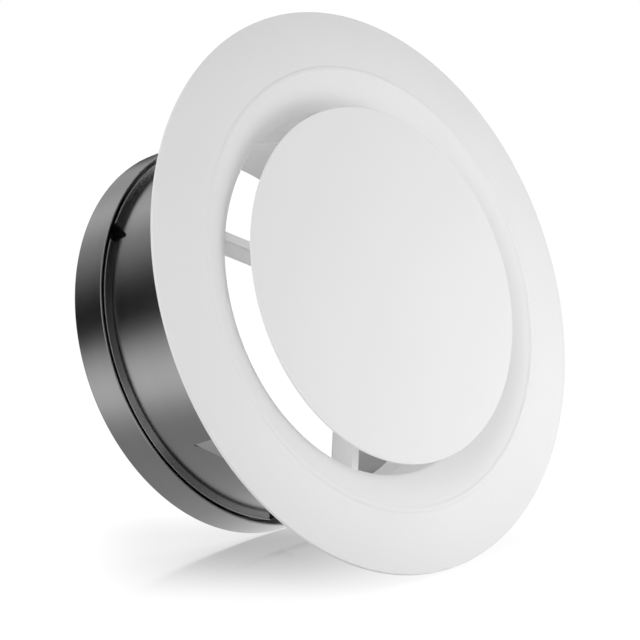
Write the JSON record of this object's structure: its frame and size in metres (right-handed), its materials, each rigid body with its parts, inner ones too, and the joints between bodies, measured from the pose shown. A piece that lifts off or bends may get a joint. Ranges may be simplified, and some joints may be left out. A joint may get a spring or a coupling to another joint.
{
  "type": "adjustable ceiling vent",
  "caption": "Round ceiling vent: a screw-in disc in a domed face ring, on a neck with a bayonet duct collar.",
  "frame": {"origin": "centre of the collar's rear edge, where the vent stands", "axes": "+Z along the vent's axis and out of its face, +X and +Y across it"},
  "size_m": [0.2102, 0.2102, 0.0866],
  "materials": {
    "white_satin": "satin white",
    "dark_metal": "dark satin",
    "foam": "matt closed-cell foam",
    "rivet": "plain",
    "zinc_steel": "zinc plated",
    "spring_steel": "blackened",
    "brass": "turned",
    "white_nylon": "satin"
  },
  "bodies": {
    "collar": {"duct_collar": "dark_metal"},
    "vent": {"face_ring": "white_satin", "flange_gasket": "foam", "neck_sleeve": "dark_metal", "sleeve_rivets": "rivet", "hub_bush": "brass"},
    "stop": {"stop_washer": "zinc_steel"},
    "disc": {"valve_disc": "white_satin", "spindle": "zinc_steel", "disc_washer": "zinc_steel", "disc_nut": "zinc_steel", "end_clip": "spring_steel"},
    "lock_ring": {"lock_washer": "zinc_steel"},
    "hand_nut": {"lock_nut": "white_nylon"}
  },
  "joints": [
    {"name": "bayonet_twist", "type": "hinge", "parent": "collar", "child": "vent", "pos_m": [0, 0, 0.0115], "axis": [0, 0, 1], "range_deg": [-20, 0]},
    {"name": "disc_travel", "type": "slide", "parent": "vent", "child": "stop", "axis": [0, 0, 1], "range_m": [-0.006, 0.012]},
    {"name": "disc_turn", "type": "hinge", "parent": "stop", "child": "disc", "pos_m": [0, 0, 0.0357], "axis": [0, 0, 1], "range_deg": [-721, 1441]},
    {"name": "lock_travel", "type": "slide", "parent": "vent", "child": "lock_ring", "axis": [0, 0, 1], "range_m": [-0.002, 0]},
    {"name": "lock_turn", "type": "hinge", "parent": "lock_ring", "child": "hand_nut", "pos_m": [0, 0, 0.0574], "axis": [0, 0, 1], "range_deg": [-241, 0]}
  ],
  "couplings": [
    {"joint": "disc_turn", "follows": "disc_travel", "rad_per_m": 2094.4},
    {"joint": "lock_turn", "follows": "lock_travel", "rad_per_m": 2094.4}
  ]
}
